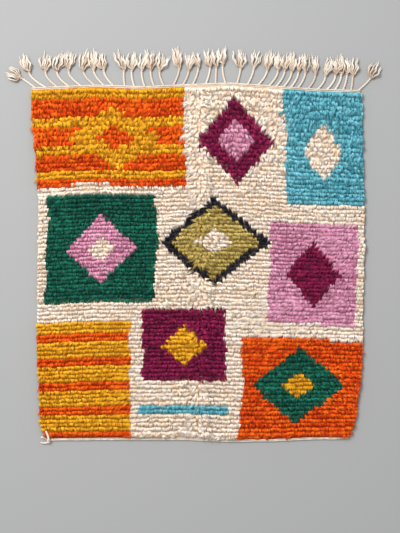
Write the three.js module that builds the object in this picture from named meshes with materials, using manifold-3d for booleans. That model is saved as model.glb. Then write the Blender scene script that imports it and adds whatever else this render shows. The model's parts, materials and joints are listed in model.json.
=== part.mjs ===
// A hand-knotted wool rug lying flat, with rows of pile between two flat-woven hems,
// a fringe of knotted tassels along the top hem and one knotted warp end at the bottom left corner.
// Millimetres. +X runs along the rows of pile, +Y up the warps to the fringe, +Z up from the floor.
import * as THREE from "three";
import { mergeVertices } from "three/addons/utils/BufferGeometryUtils.js";
import Module from "manifold-3d";

const wasm = await Module();
wasm.setup();

// Driving dimensions
const WEAVE_THICKNESS = 4;
const PILE_CREST = 21;
const PILE_VALLEY = 13;
const PILE_ROWS = 86;
const COLUMNS = 13;
const TOP_HEM = 10;
const BOTTOM_HEM = 7;
const HEM_STEP = 0.5;
const PART_GAP = 0.3;
const EDGE_SOFTENING = 0.02;

// Form and unevenness of the pile
const CREST_PLACE = 0.4;
const CREST_LIFT = 1.4;
const ROW_END_OVERHANG = 3;
const ROW_BOW = 14;
const BOW_RISE = 0.12;
const CREASE_PLACE = 0.5;
const CREASE_WIDTH = 0.05;
const CREASE_DEPTH = 5;

// Fringe: its strip, cords and knots
const STRIP_DEPTH = 7;
const CORD_WIDTH = 8;
const CORD_HEIGHT = 7;
const CORD_STEPS = 4;
const CORD_REACH = 66;
const CORD_REACH_VARIES = 5;
const CORD_BEND = 0.45;
const KNOT_WIDTH = 17;
const KNOT_HEIGHT = 14;
const KNOT_NECK = 0.8;
const ROOT_LIFT = 0.8;
const CROWN_TAPER = 0.3;

// Loose ends of a tassel, the last six as shares of the width, length and fan
const ENDS_PER_TASSEL = 5;
const END_WIDTH = 7;
const END_HEIGHT = 6;
const END_LENGTH = 74;
const END_LENGTH_VARIES = 9;
const WIDEST_FAN = 26;
const END_TO_FAN = 0.36;
const END_TAPER = 0.6;
const OUTER_END_SHORTER = 0.18;
const ROOT_SPREAD = 0.3;
const BELLY_PLACE = 0.4;
const BELLY_FAN = 0.8;

// Side edges: share of the length from the bottom, and how far each side lies from the middle
const SIDES = [
  { share: 0.0, left: -688, right: 672 },
  { share: 0.02, left: -722, right: 699 },
  { share: 0.05, left: -736, right: 714 },
  { share: 0.16, left: -738, right: 733 },
  { share: 0.22, left: -750, right: 746 },
  { share: 0.36, left: -747, right: 746 },
  { share: 0.57, left: -742, right: 754 },
  { share: 0.7, left: -741, right: 752 },
  { share: 0.82, left: -757, right: 746 },
  { share: 0.95, left: -775, right: 746 },
  { share: 1.0, left: -774, right: 738 },
];

// End edges: share of the width from the left, and the height of each end above the middle
const ENDS = [
  { share: 0.0, bottom: -800, top: 823 },
  { share: 0.2, bottom: -798, top: 837 },
  { share: 0.34, bottom: -798, top: 829 },
  { share: 0.48, bottom: -799, top: 839 },
  { share: 0.6, bottom: -807, top: 846 },
  { share: 0.75, bottom: -804, top: 830 },
  { share: 0.87, bottom: -796, top: 817 },
  { share: 1.0, bottom: -793, top: 811 },
];

// Rows of pile are packed closer in the middle of the rug than near the fringe
const ROW_PLACES = [
  { row: 0, share: 0.0 },
  { row: 26, share: 0.3 },
  { row: 58, share: 0.65 },
  { row: 71, share: 0.8 },
  { row: PILE_ROWS, share: 1.0 },
];

// Bunches of tassels: first and last root across the rug, how far their knots lean sideways,
// how far the knots lie from the hem, and the turn of the loose ends to the right in degrees
const BUNCHES = [
  { count: 1, first: -756, last: -756, leanFirst: -62, leanLast: -62, reach: 0.55, turn: -64 },
  { count: 1, first: -708, last: -708, leanFirst: -76, leanLast: -76, reach: 1.0, turn: -14 },
  { count: 3, first: -656, last: -546, leanFirst: -54, leanLast: -58, reach: 0.95, turn: 2 },
  { count: 3, first: -484, last: -398, leanFirst: -52, leanLast: -44, reach: 0.9, turn: -8 },
  { count: 2, first: -346, last: -302, leanFirst: -4, leanLast: -12, reach: 0.95, turn: 4 },
  { count: 3, first: -254, last: -166, leanFirst: -14, leanLast: -20, reach: 1.0, turn: 3 },
  { count: 3, first: -124, last: -34, leanFirst: 28, leanLast: 26, reach: 1.0, turn: 6 },
  { count: 3, first: 26, last: 118, leanFirst: 20, leanLast: -14, reach: 1.1, turn: 4 },
  { count: 3, first: 170, last: 266, leanFirst: 16, leanLast: 42, reach: 1.0, turn: 8 },
  { count: 5, first: 316, last: 450, leanFirst: 42, leanLast: 34, reach: 1.0, turn: 4 },
  { count: 2, first: 496, last: 540, leanFirst: 34, leanLast: 36, reach: 0.9, turn: 2 },
  { count: 4, first: 582, last: 694, leanFirst: 40, leanLast: 8, reach: 1.0, turn: 2 },
  { count: 1, first: 726, last: 726, leanFirst: 56, leanLast: 56, reach: 0.8, turn: 34 },
];

// The knotted warp end at the bottom left corner: its knot, and where each tail ends beside the knot
const TIE_KNOT = { across: -694, length: 15, width: 12, height: 11 };
const TIE_TAILS = [
  { across: -38, up: -2, climb: 0 },
  { across: -37, up: 16, climb: 0 },
  { across: -12, up: 48, climb: PILE_CREST + CREST_LIFT + 1 },
];
const TIE_WIDTH = 8;
const TIE_HEIGHT = 6;
const TIE_TAPER = 0.3;

// Sections of that knot from left to right, and of each tail from the knot to its tip
const LUMP_SECTIONS = [
  { part: -1, size: 0.5 },
  { part: -0.4, size: 1 },
  { part: 0.4, size: 1 },
  { part: 1, size: 0.5 },
];
const TAIL_SECTIONS = [
  { part: 0, climbed: 0 },
  { part: 0.25, climbed: 1 },
  { part: 0.6, climbed: 1 },
  { part: 1, climbed: 1 },
];

const WOOL = { roughness: 0.95, metalness: 0 };
const CREAM_WOOL = new THREE.MeshStandardMaterial({ color: "#e2cfb4", ...WOOL });
const PILE_WOOL = new THREE.MeshStandardMaterial({ color: "#c98a4a", ...WOOL });

// Reads a column of a table at a place along its key, straight from one row to the next
function along(table, key, place, column) {
  const within = THREE.MathUtils.clamp(place, table[0][key], table[table.length - 1][key]);
  const next = Math.max(1, table.findIndex((row) => row[key] >= within));
  const low = table[next - 1];
  const high = table[next];
  return THREE.MathUtils.mapLinear(within, low[key], high[key], low[column], high[column]);
}

// The same for an edge of the cloth, with the corners between the rows of the table softened
function edgeAt(table, place, column) {
  const sum = [-1, 0, 0, 1].reduce(
    (total, step) => total + along(table, "share", place + step * EDGE_SOFTENING, column),
    0,
  );
  return sum / 4;
}

// A fixed, uneven value from -1 to 1 for a pair of whole numbers
function uneven(a, b) {
  const wave = Math.sin(a * 127.1 + b * 311.7) * 43758.5453;
  return 2 * (wave - Math.floor(wave)) - 1;
}

// A point of the rug in plan, from its share across and its share up, within the two hems' edges
function inPlan(across, up, overhang) {
  const left = edgeAt(SIDES, up, "left") - overhang;
  const right = edgeAt(SIDES, up, "right") + overhang;
  const low = edgeAt(ENDS, across, "bottom");
  const high = edgeAt(ENDS, across, "top") - STRIP_DEPTH - PART_GAP;
  const bow = ROW_BOW * Math.sin(Math.PI * across) * Math.min(1, up / BOW_RISE) * (1 - up);
  const x = THREE.MathUtils.lerp(left, right, across);
  const y = THREE.MathUtils.lerp(low, high, up) + bow;
  return new THREE.Vector2(x, y);
}

// How deep the old fold down the middle presses the pile
function creaseAt(across) {
  const away = (across - CREASE_PLACE) / CREASE_WIDTH;
  return CREASE_DEPTH * Math.exp(-away * away);
}

// Lines across the rug, from the bottom hem to the top one: a place up the rug, a height and
// how far the ends of the line stand out over the sides
function rugLines() {
  const length = ENDS[0].top - ENDS[0].bottom;
  const pileStart = BOTTOM_HEM / length;
  const pileEnd = 1 - TOP_HEM / length;
  const step = HEM_STEP / length;
  const pilePlace = (row) =>
    THREE.MathUtils.lerp(pileStart, pileEnd, along(ROW_PLACES, "row", row, "share"));
  const lines = [
    { up: 0, height: WEAVE_THICKNESS, overhang: 0, crest: false },
    { up: pileStart - step, height: WEAVE_THICKNESS, overhang: 0, crest: false },
  ];
  for (let row = 0; row < PILE_ROWS; row++) {
    lines.push({ up: pilePlace(row), height: PILE_VALLEY, overhang: 0, crest: false });
    const crest = pilePlace(row + CREST_PLACE);
    lines.push({ up: crest, height: PILE_CREST, overhang: ROW_END_OVERHANG, crest: true });
  }
  lines.push({ up: pileEnd, height: PILE_VALLEY, overhang: 0, crest: false });
  lines.push({ up: pileEnd + step, height: WEAVE_THICKNESS, overhang: 0, crest: false });
  lines.push({ up: 1, height: WEAVE_THICKNESS, overhang: 0, crest: false });
  return lines;
}

// A sheet of points in rows across the rug, its triangles, and its rim: each point of the edge
// with its place round the rug
function rugSheet(lines, firstPoint) {
  const wide = COLUMNS + 1;
  const last = lines.length - 1;
  const points = [];
  const triangles = [];
  lines.forEach((line, number) => {
    for (let column = 0; column < wide; column++) {
      const across = column / COLUMNS;
      const spot = inPlan(across, line.up, line.overhang);
      const lift = line.crest ? CREST_LIFT * uneven(number, column) - creaseAt(across) : 0;
      points.push(new THREE.Vector3(spot.x, spot.y, line.height + lift));
    }
  });
  const at = (line, column) => firstPoint + line * wide + column;
  for (let line = 0; line < last; line++) {
    for (let column = 0; column < COLUMNS; column++) {
      triangles.push([at(line, column), at(line, column + 1), at(line + 1, column + 1)]);
      triangles.push([at(line, column), at(line + 1, column + 1), at(line + 1, column)]);
    }
  }
  const rim = [];
  for (let column = 0; column < COLUMNS; column++) rim.push([at(0, column), column / COLUMNS]);
  for (let line = 0; line < last; line++) rim.push([at(line, COLUMNS), 1 + lines[line].up]);
  for (let column = COLUMNS; column > 0; column--) rim.push([at(last, column), 3 - column / COLUMNS]);
  for (let line = last; line >= 0; line--) rim.push([at(line, 0), 4 - lines[line].up]);
  return { points, triangles, rim };
}

// The wall between two rims, stepping along whichever of them is behind
function wallBetween(upper, lower) {
  const triangles = [];
  let high = 0;
  let low = 0;
  while (high < upper.length - 1 || low < lower.length - 1) {
    const lowDone = low === lower.length - 1;
    const highDone = high === upper.length - 1;
    if (lowDone || (!highDone && upper[high + 1][1] <= lower[low + 1][1])) {
      triangles.push([upper[high][0], lower[low][0], upper[high + 1][0]]);
      high += 1;
    } else {
      triangles.push([upper[high][0], lower[low][0], lower[low + 1][0]]);
      low += 1;
    }
  }
  return triangles;
}

// The rug itself: a ribbed top over a flat underside, closed by a wall round the edge
function rugBody() {
  const top = rugSheet(rugLines(), 0);
  const underLines = SIDES.map(({ share }) => ({ up: share, height: 0, overhang: 0, crest: false }));
  const under = rugSheet(underLines, top.points.length);
  const facingDown = under.triangles.map(([a, b, c]) => [a, c, b]);
  const wall = wallBetween(top.rim, under.rim);
  return closedGeometry([...top.points, ...under.points], [...top.triangles, ...facingDown, ...wall]);
}

function closedGeometry(points, triangles) {
  const geometry = new THREE.BufferGeometry().setFromPoints(points);
  geometry.setIndex(triangles.flat());
  return geometry;
}

// A closed strand lying flat side down: stations along a route, each with a place, a width and a height,
// cut square across the route unless a station gives the way across
function strand(stations, sides) {
  const points = [];
  const triangles = [];
  stations.forEach((station, number) => {
    const before = stations[Math.max(0, number - 1)].place;
    const after = stations[Math.min(stations.length - 1, number + 1)].place;
    const run = after.clone().sub(before).setZ(0).normalize();
    const across = station.across ?? new THREE.Vector3(run.y, -run.x, 0);
    const side = across.clone().multiplyScalar(station.width / 2);
    const top = station.place.clone().setZ(station.place.z + station.height);
    const inset = sides === 3 ? [0] : [1 - CROWN_TAPER, CROWN_TAPER - 1];
    const crown = inset.map((part) => top.clone().addScaledVector(side, part));
    points.push(station.place.clone().sub(side), station.place.clone().add(side), ...crown);
  });
  const lastRing = (stations.length - 1) * sides;
  for (let ring = 0; ring < lastRing; ring += sides) {
    for (let corner = 0; corner < sides; corner++) {
      const next = (corner + 1) % sides;
      const ahead = ring + sides;
      triangles.push([ring + corner, ahead + next, ring + next]);
      triangles.push([ring + corner, ahead + corner, ahead + next]);
    }
  }
  for (let corner = 1; corner < sides - 1; corner++) {
    triangles.push([0, corner, corner + 1], [lastRing, lastRing + corner + 1, lastRing + corner]);
  }
  return closedGeometry(points, triangles);
}

function solidOf(geometry) {
  const bare = mergeVertices(geometry);
  return new wasm.Manifold(
    new wasm.Mesh({
      numProp: 3,
      vertProperties: bare.getAttribute("position").array,
      triVerts: new Uint32Array(bare.index.array),
    }),
  );
}

function geometryOf(solid) {
  const mesh = solid.getMesh();
  const geometry = new THREE.BufferGeometry();
  geometry.setAttribute("position", new THREE.BufferAttribute(mesh.vertProperties, mesh.numProp));
  geometry.setIndex(new THREE.BufferAttribute(mesh.triVerts, 1));
  geometry.computeVertexNormals();
  return geometry;
}

const joined = (geometries) => geometries.map(solidOf).reduce((whole, next) => whole.add(next));

// The outer edge of the top hem at a place across the rug in millimetres
function hemEdge(x) {
  const { left, right } = SIDES[SIDES.length - 1];
  const across = THREE.MathUtils.clamp((x - left) / (right - left), 0, 1);
  return edgeAt(ENDS, across, "top");
}

// The flat-woven strip at the end of the warps that every tassel grows from
function fringeStrip() {
  const downTheWarps = new THREE.Vector3(0, -1, 0);
  const stations = [];
  for (let column = 0; column <= COLUMNS; column++) {
    const edge = inPlan(column / COLUMNS, 1, 0);
    const place = new THREE.Vector3(edge.x, edge.y + PART_GAP + STRIP_DEPTH / 2, 0);
    stations.push({ place, across: downTheWarps, width: STRIP_DEPTH, height: WEAVE_THICKNESS });
  }
  return strand(stations, 4);
}

// Every tassel's root, lean, reach and turn, worked out from the bunches
function tassels() {
  const all = BUNCHES.flatMap((bunch) =>
    Array.from({ length: bunch.count }, (_, number) => {
      const part = bunch.count > 1 ? number / (bunch.count - 1) : 0;
      const root = THREE.MathUtils.lerp(bunch.first, bunch.last, part);
      const lean = THREE.MathUtils.lerp(bunch.leanFirst, bunch.leanLast, part);
      return { root, lean, reach: bunch.reach * CORD_REACH, turn: bunch.turn };
    }),
  );
  all.forEach((tassel, number) => {
    const place = tassel.root + tassel.lean;
    const beside = [all[number - 1], all[number + 1]].filter(Boolean);
    const room = Math.min(...beside.map((other) => Math.abs(other.root + other.lean - place)));
    tassel.fan = Math.min(WIDEST_FAN, room / 2 - END_WIDTH / 2);
    tassel.reach += CORD_REACH_VARIES * uneven(number, 1);
    tassel.length = END_LENGTH + END_LENGTH_VARIES * uneven(number, 2);
  });
  return all;
}

// One tassel: a twisted cord that curves up to its knot, and the loose ends that fan out of it
function tassel({ root, lean, reach, turn, fan, length }) {
  const angle = THREE.MathUtils.degToRad(turn);
  const heading = new THREE.Vector3(Math.sin(angle), Math.cos(angle), 0);
  const side = new THREE.Vector3(heading.y, -heading.x, 0);
  const start = new THREE.Vector3(root, hemEdge(root) - STRIP_DEPTH / 4, ROOT_LIFT);
  const knot = new THREE.Vector3(root + lean, hemEdge(root) + reach, 0);
  const bend = knot.clone().addScaledVector(heading, -CORD_BEND * reach);
  const knotMiddle = knot.clone().addScaledVector(heading, KNOT_WIDTH / 2);
  const knotEnd = knot.clone().addScaledVector(heading, KNOT_WIDTH);
  const route = new THREE.QuadraticBezierCurve3(start, bend, knot).getPoints(CORD_STEPS);
  const cord = route.map((place) => ({ place, width: CORD_WIDTH, height: CORD_HEIGHT }));
  cord.push({ place: knotMiddle, width: KNOT_WIDTH, height: KNOT_HEIGHT });
  cord.push({ place: knotEnd, width: KNOT_WIDTH * KNOT_NECK, height: KNOT_HEIGHT * KNOT_NECK });

  const pieces = [strand(cord, 4)];
  const width = Math.min(END_WIDTH, fan * END_TO_FAN);
  for (let number = 0; number < ENDS_PER_TASSEL; number++) {
    const part = (2 * number) / (ENDS_PER_TASSEL - 1) - 1;
    const foot = number % 2 ? KNOT_HEIGHT / 2 : 2 * ROOT_LIFT;
    const reachOut = length * (1 - OUTER_END_SHORTER * Math.abs(part));
    const fanned = (share, out) =>
      knotEnd.clone().addScaledVector(side, part * fan * share).addScaledVector(heading, out);
    const from = knotMiddle.clone().addScaledVector(side, part * KNOT_WIDTH * ROOT_SPREAD).setZ(foot);
    const end = [
      { place: from, width: width * END_TAPER, height: END_HEIGHT * KNOT_NECK },
      { place: fanned(BELLY_FAN, reachOut * BELLY_PLACE), width, height: END_HEIGHT },
      { place: fanned(1, reachOut), width: width * END_TAPER, height: END_HEIGHT * END_TAPER },
    ];
    pieces.push(strand(end, 3));
  }
  return pieces;
}

// The knotted warp end, against the edge of the bottom hem, with one tail thrown back over the pile
function cornerTie() {
  const hem = edgeAt(ENDS, 0, "bottom");
  const knot = new THREE.Vector3(TIE_KNOT.across, hem - PART_GAP - TIE_KNOT.width / 2, 0);
  const lump = LUMP_SECTIONS.map(({ part, size }) => ({
    place: knot.clone().setX(knot.x + (part * TIE_KNOT.length) / 2),
    width: TIE_KNOT.width * size,
    height: TIE_KNOT.height * size,
  }));
  const tails = TIE_TAILS.map(({ across, up, climb }) => {
    const tip = knot.clone().add(new THREE.Vector3(across, up, 0));
    return TAIL_SECTIONS.map(({ part, climbed }) => ({
      place: knot.clone().lerp(tip, part).setZ(climb * climbed),
      width: TIE_WIDTH * (1 - TIE_TAPER * part),
      height: TIE_HEIGHT,
    }));
  });
  return joined([lump, ...tails].map((stations) => strand(stations, 4)));
}

function node(name, geometry, material) {
  const mesh = new THREE.Mesh(geometry, material);
  mesh.name = name;
  return mesh;
}

const rug = new THREE.Group();
const fringe = joined([fringeStrip(), ...tassels().flatMap(tassel)]);
rug.add(
  node("rug_body", rugBody(), PILE_WOOL),
  node("fringe", geometryOf(fringe), CREAM_WOOL),
  node("corner_tie", geometryOf(cornerTie()), CREAM_WOOL),
);

// The part's origin is on the floor under the middle of the whole outline
const outline = new THREE.Box3().setFromObject(rug);
const middle = outline.getCenter(new THREE.Vector3());
rug.position.set(-middle.x, -middle.y, -outline.min.z);

export default rug;
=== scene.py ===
# %% [markdown]
# # A hand-knotted wool rug, lying flat
# A rug like this is made on an upright loom. Rows of wool are knotted on strong warps, a few wefts are
# beaten down after each row, and the warps that are left over at one end become a fringe of tassels.
# This lesson dresses the plain solids of such a rug with a woven ground, thousands of cut yarn ends,
# twined hems and twisted cords. The tables are in millimetres, and every mesh is in metres.

# %% Load the solids
import json
import math

import bpy
import numpy as np
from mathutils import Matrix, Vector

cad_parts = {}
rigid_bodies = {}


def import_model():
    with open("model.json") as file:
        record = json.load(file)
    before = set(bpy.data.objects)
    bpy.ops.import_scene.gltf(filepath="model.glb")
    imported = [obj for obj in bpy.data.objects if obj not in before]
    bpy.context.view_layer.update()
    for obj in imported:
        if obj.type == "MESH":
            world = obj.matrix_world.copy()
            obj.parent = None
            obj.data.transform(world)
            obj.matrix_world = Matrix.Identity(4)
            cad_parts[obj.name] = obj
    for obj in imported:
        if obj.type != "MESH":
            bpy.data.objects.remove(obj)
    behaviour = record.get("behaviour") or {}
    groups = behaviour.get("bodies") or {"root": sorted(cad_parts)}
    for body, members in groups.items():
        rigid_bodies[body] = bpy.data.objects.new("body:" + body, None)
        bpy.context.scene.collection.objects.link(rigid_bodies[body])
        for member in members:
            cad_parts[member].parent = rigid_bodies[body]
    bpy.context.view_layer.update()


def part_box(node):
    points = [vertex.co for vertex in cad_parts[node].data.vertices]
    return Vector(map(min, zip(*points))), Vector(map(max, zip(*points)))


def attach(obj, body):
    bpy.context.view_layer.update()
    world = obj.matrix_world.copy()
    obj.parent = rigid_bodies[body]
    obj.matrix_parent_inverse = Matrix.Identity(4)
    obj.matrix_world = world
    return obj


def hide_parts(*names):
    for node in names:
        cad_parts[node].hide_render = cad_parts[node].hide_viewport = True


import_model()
MM = 0.001

# %% [markdown]
# ## The view
# The rug is seen from straight above. A long lens from six metres up keeps its edges as straight as
# they are in a flat-lay picture, where a short lens would make the raised pile lean outwards.

# %% Camera
IMAGE_HEIGHT = 533
PIXEL = 4.6
VIEW_HEIGHT = 6.0
SENSOR = 36.0
# The tables below count from the middle of the loom, which lies here on the part
LOOM_MIDDLE = np.array([22.2016, -100.5970])

camera = bpy.data.objects.new("camera", bpy.data.cameras.new("camera"))
camera.data.sensor_fit = "VERTICAL"
camera.data.sensor_height = SENSOR
camera.data.lens = SENSOR * VIEW_HEIGHT / (IMAGE_HEIGHT * PIXEL * MM)
camera.location = (LOOM_MIDDLE[0] * MM, LOOM_MIDDLE[1] * MM, VIEW_HEIGHT)
bpy.context.collection.objects.link(camera)
bpy.context.scene.camera = camera
print(f"lens {camera.data.lens:.0f} mm")

# %% [markdown]
# ## Small helpers
# Colours are picked as sRGB hex values, because that is what a colour picker shows, but shaders count
# in linear light, so one function converts them. Another adds any node: it sets the node's own
# properties and fills each input with either a value or a link from another node's output. The last two
# begin a material and end it.


# %% Colour and node helpers
def linear(hex_colour):
    """Turns an sRGB hex colour into linear red, green, blue and alpha."""
    parts = [int(hex_colour[at : at + 2], 16) / 255 for at in (1, 3, 5)]
    return tuple(c / 12.92 if c <= 0.04045 else ((c + 0.055) / 1.055) ** 2.4 for c in parts) + (1.0,)


def add_node(tree, kind, inputs=None, **settings):
    """Adds a node with its settings. Each input gets a value, or a link if it is given a socket."""
    node = tree.nodes.new(kind)
    for name, value in settings.items():
        setattr(node, name, value)
    for socket, value in (inputs or {}).items():
        if isinstance(value, bpy.types.NodeSocket):
            tree.links.new(value, node.inputs[socket])
        else:
            node.inputs[socket].default_value = value
    return node


def new_material(name):
    """An empty node material, and its tree."""
    material = bpy.data.materials.new(name)
    material.use_nodes = True
    material.node_tree.nodes.clear()
    return material, material.node_tree


def put_on_surface(tree, shader):
    """Ends a material's tree with its shader."""
    add_node(tree, "ShaderNodeOutputMaterial", {"Surface": shader.outputs[0]})


# %% [markdown]
# ## Floor and light
# The floor is plain and pale, so that the cream fringe still stands out from it. One large soft lamp
# stands up and to the left, which throws short soft shadows to the right of the cords and darkens the
# gap under each row of pile. An even pale sky fills in the rest.

# %% Floor and lamps
FLOOR_SIZE = 60.0

floor_mesh = bpy.data.meshes.new("floor")
half = FLOOR_SIZE / 2
floor_corners = [(-half, -half, 0), (half, -half, 0), (half, half, 0), (-half, half, 0)]
floor_mesh.from_pydata(floor_corners, [], [(0, 1, 2, 3)])
floor = bpy.data.objects.new("floor", floor_mesh)
bpy.context.collection.objects.link(floor)
floor_paint, tree = new_material("pale floor paint")
shader = add_node(tree, "ShaderNodeBsdfPrincipled", {"Base Color": linear("#8e8e8d"), "Roughness": 0.8})
put_on_surface(tree, shader)
floor_mesh.materials.append(floor_paint)

key = bpy.data.objects.new("key lamp", bpy.data.lights.new("key lamp", "AREA"))
key.data.size = 3.0
key.data.energy = 640
key.location = (-2.7, 3.0, 6.0)
key.rotation_euler = (math.radians(34), 0, math.radians(222))
bpy.context.collection.objects.link(key)

world = bpy.data.worlds.new("pale sky")
world.use_nodes = True
world.node_tree.nodes["Background"].inputs["Color"].default_value = linear("#eef0f2")
world.node_tree.nodes["Background"].inputs["Strength"].default_value = 0.9
bpy.context.scene.world = world
bpy.context.scene.view_settings.view_transform = "Standard"
print("floor, one lamp and a sky")

# %% [markdown]
# ## Where every point of the rug lies
# No hand-made rug is a true rectangle. Two short tables give its edges, read in shares of its length and
# width, and a third says how closely the rows are packed. Any point of the cloth then follows from how
# far across and how far up the rug it is, and the rows of pile bend with the edges.

# %% Outline and rows
SOFTENING = 0.02
STRIP_DEPTH = 7.0
PART_GAP = 0.3
ROW_BOW = 14.0
BOW_RISE = 0.12
ROWS = 86
BOTTOM_HEM = 7.0
TOP_HEM = 5.0
LENGTH = 1623.0

# Share of the length from the bottom, left edge, right edge
SIDES = np.array([
    (0.00, -688, 672), (0.02, -722, 699), (0.05, -736, 714), (0.16, -738, 733), (0.22, -750, 746),
    (0.36, -747, 746), (0.57, -742, 754), (0.70, -741, 752), (0.82, -757, 746), (0.95, -775, 746),
    (1.00, -774, 738),
])
# Share of the width from the left, bottom edge, top edge
ENDS = np.array([
    (0.00, -800, 823), (0.20, -798, 837), (0.34, -798, 829), (0.48, -799, 839), (0.60, -807, 846),
    (0.75, -804, 830), (0.87, -796, 817), (1.00, -793, 811),
])
# Row of pile, share of the length
ROW_PLACES = np.array([(0, 0.0), (26, 0.3), (58, 0.65), (71, 0.8), (ROWS, 1.0)])


def edge_at(table, column, place):
    """An edge of the cloth at a share of its length, with the table's corners softened."""
    steps = (-SOFTENING, 0, 0, SOFTENING)
    return sum(np.interp(place + step, table[:, 0], table[:, column]) for step in steps) / len(steps)


def in_plan(across, up):
    """The x and y of a point of the cloth from its share across and its share up."""
    left, right = edge_at(SIDES, 1, up), edge_at(SIDES, 2, up)
    low, high = edge_at(ENDS, 1, across), edge_at(ENDS, 2, across) - STRIP_DEPTH - PART_GAP
    bow = ROW_BOW * np.sin(np.pi * across) * np.minimum(1, up / BOW_RISE) * (1 - up)
    return left + (right - left) * across + LOOM_MIDDLE[0], low + (high - low) * up + bow + LOOM_MIDDLE[1]


def row_up(row):
    """How far up the cloth a row of pile lies, as a share."""
    start, end = BOTTOM_HEM / LENGTH, 1 - TOP_HEM / LENGTH
    return start + (end - start) * np.interp(row, ROW_PLACES[:, 0], ROW_PLACES[:, 1])


def drift(x, y, size, seed):
    """A smooth random field from -1 to 1 whose hills lie about size millimetres apart."""
    table = np.random.default_rng(seed).uniform(-1, 1, (64, 64))
    u, v = x / size + 64, y / size + 64
    i, j = np.floor(u).astype(int), np.floor(v).astype(int)
    a, b = u - i, v - j
    a, b = a * a * (3 - 2 * a), b * b * (3 - 2 * b)
    low = (1 - a) * table[i % 64, j % 64] + a * table[(i + 1) % 64, j % 64]
    high = (1 - a) * table[i % 64, (j + 1) % 64] + a * table[(i + 1) % 64, (j + 1) % 64]
    return (1 - b) * low + b * high


low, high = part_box("rug_body")
print("solid from", [round(x, 3) for x in low], "to", [round(x, 3) for x in high])

# %% [markdown]
# ## The knots of the pile
# Each row is a line of knots on the warps, and each knot has two cut ends of yarn. Their places are all
# that Geometry Nodes needs to grow the pile, so they are worked out first, a few millimetres uneven, as
# a hand would tie them.

# %% Places of the knots
KNOTS_PER_ROW = 152
ROOT_IN_ROW = 0.72
# Shares of the space between two knots, and of the space between two rows
STAGGER, KNOT_STRAY, ROW_STRAY = 0.25, 0.22, 0.07
# How far a row wanders up and down, in long waves and in short ones
LONG_WANDER, SHORT_WANDER = 2.6, 1.6
# Rows read the random fields this far apart, so that no two wander alike
FIELD_STEP = 900
rng = np.random.default_rng(11)

row = np.repeat(np.arange(ROWS), KNOTS_PER_ROW)
knot = np.tile(np.arange(KNOTS_PER_ROW), ROWS)
stray = rng.uniform(-KNOT_STRAY, KNOT_STRAY, len(row))
across = (knot + 0.5 + STAGGER * (row % 2 - 0.5) + stray) / KNOTS_PER_ROW
up = row_up(row + ROOT_IN_ROW + rng.uniform(-ROW_STRAY, ROW_STRAY, len(row)))
x, y = in_plan(across, up)
own_y = y + FIELD_STEP * row
y = y + LONG_WANDER * drift(x, own_y, 70, 21) + SHORT_WANDER * drift(x, own_y, 24, 22)
print(len(x), "knots")

# %% [markdown]
# ## The weaver's chart
# The design is a plain chart of blocks, stripes and nested lozenges on a cream ground, such as weavers have
# long used, measured in centimetres from the bottom left corner. Later lines are knotted over earlier
# ones. The chart is bent a little and its edges stepped from row to row, so no line comes out ruled.

# %% Chart
CM_WIDE, CM_LONG = 150.0, 163.0
# Rows from one stripe to the next, and rows in a stripe
STRIPE_PITCH, STRIPE_ROWS = 6, 2
# How far the chart bends, and how far the edges step from row to row, in centimetres
CHART_BEND, ROW_STEP = 0.9, 0.6
YARNS = ("cream", "orange", "saffron", "emerald", "plum", "mauve", "turquoise", "olive", "black")

# Shape, yarn, and in centimetres the centre across, the centre up, half the width and half the height
CHART = (
    ("block", "orange", 33, 143, 36, 25),
    ("stripes", "saffron", 33, 143, 36, 25),
    ("lozenge", "saffron", 37, 140, 22, 15),
    ("lozenge", "orange", 37, 140, 9, 6),
    ("lozenge", "plum", 92, 138, 18, 20),
    ("lozenge", "mauve", 92, 138, 9, 10),
    ("block", "turquoise", 134, 139, 19, 30),
    ("lozenge", "cream", 132, 134, 9, 14),
    ("block", "emerald", 29, 89, 25, 24),
    ("lozenge", "mauve", 29, 89, 16, 16),
    ("lozenge", "cream", 29, 89, 6, 6),
    ("lozenge", "black", 81, 91, 26, 21),
    ("lozenge", "olive", 81, 91, 21, 17),
    ("lozenge", "cream", 81, 91, 8, 6),
    ("block", "mauve", 127, 77, 20, 23),
    ("lozenge", "plum", 127, 77, 13, 15),
    ("block", "plum", 68, 44, 19, 17),
    ("lozenge", "saffron", 68, 44, 11, 10),
    ("block", "saffron", 20, 26, 23, 30),
    ("stripes", "orange", 20, 26, 23, 30),
    ("block", "orange", 124, 22, 29, 25),
    ("lozenge", "emerald", 121, 25, 22, 18),
    ("lozenge", "saffron", 121, 25, 8, 6),
    ("stripes", "turquoise", 68, 13, 21, 6),
)


def inside(shape, dx, dy, half_width, half_height, row):
    """Which knots a line of the chart takes, from their places round its centre."""
    if shape == "lozenge":
        return np.abs(dx) / half_width + np.abs(dy) / half_height < 1
    within = (np.abs(dx) < half_width) & (np.abs(dy) < half_height)
    return within & (row % STRIPE_PITCH < STRIPE_ROWS) if shape == "stripes" else within


row_starts = np.random.default_rng(33).uniform(-ROW_STEP, ROW_STEP, ROWS)


def yarn_at(x, y, across, up, row):
    """The number of the yarn that the chart gives each place."""
    across_cm = across * CM_WIDE + CHART_BEND * drift(x, y, 130, 31) + row_starts[row]
    up_cm = up * CM_LONG + CHART_BEND * drift(x, y, 400, 32)
    found = np.zeros(np.shape(x), int)
    for shape, name, centre_across, centre_up, half_width, half_height in CHART:
        taken = inside(shape, across_cm - centre_across, up_cm - centre_up, half_width, half_height, row)
        found[taken] = YARNS.index(name)
    return found


yarn = yarn_at(x, y, across, row_up(row + ROOT_IN_ROW), row)
print({name: f"{np.mean(yarn == number):.0%}" for number, name in enumerate(YARNS)})

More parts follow.
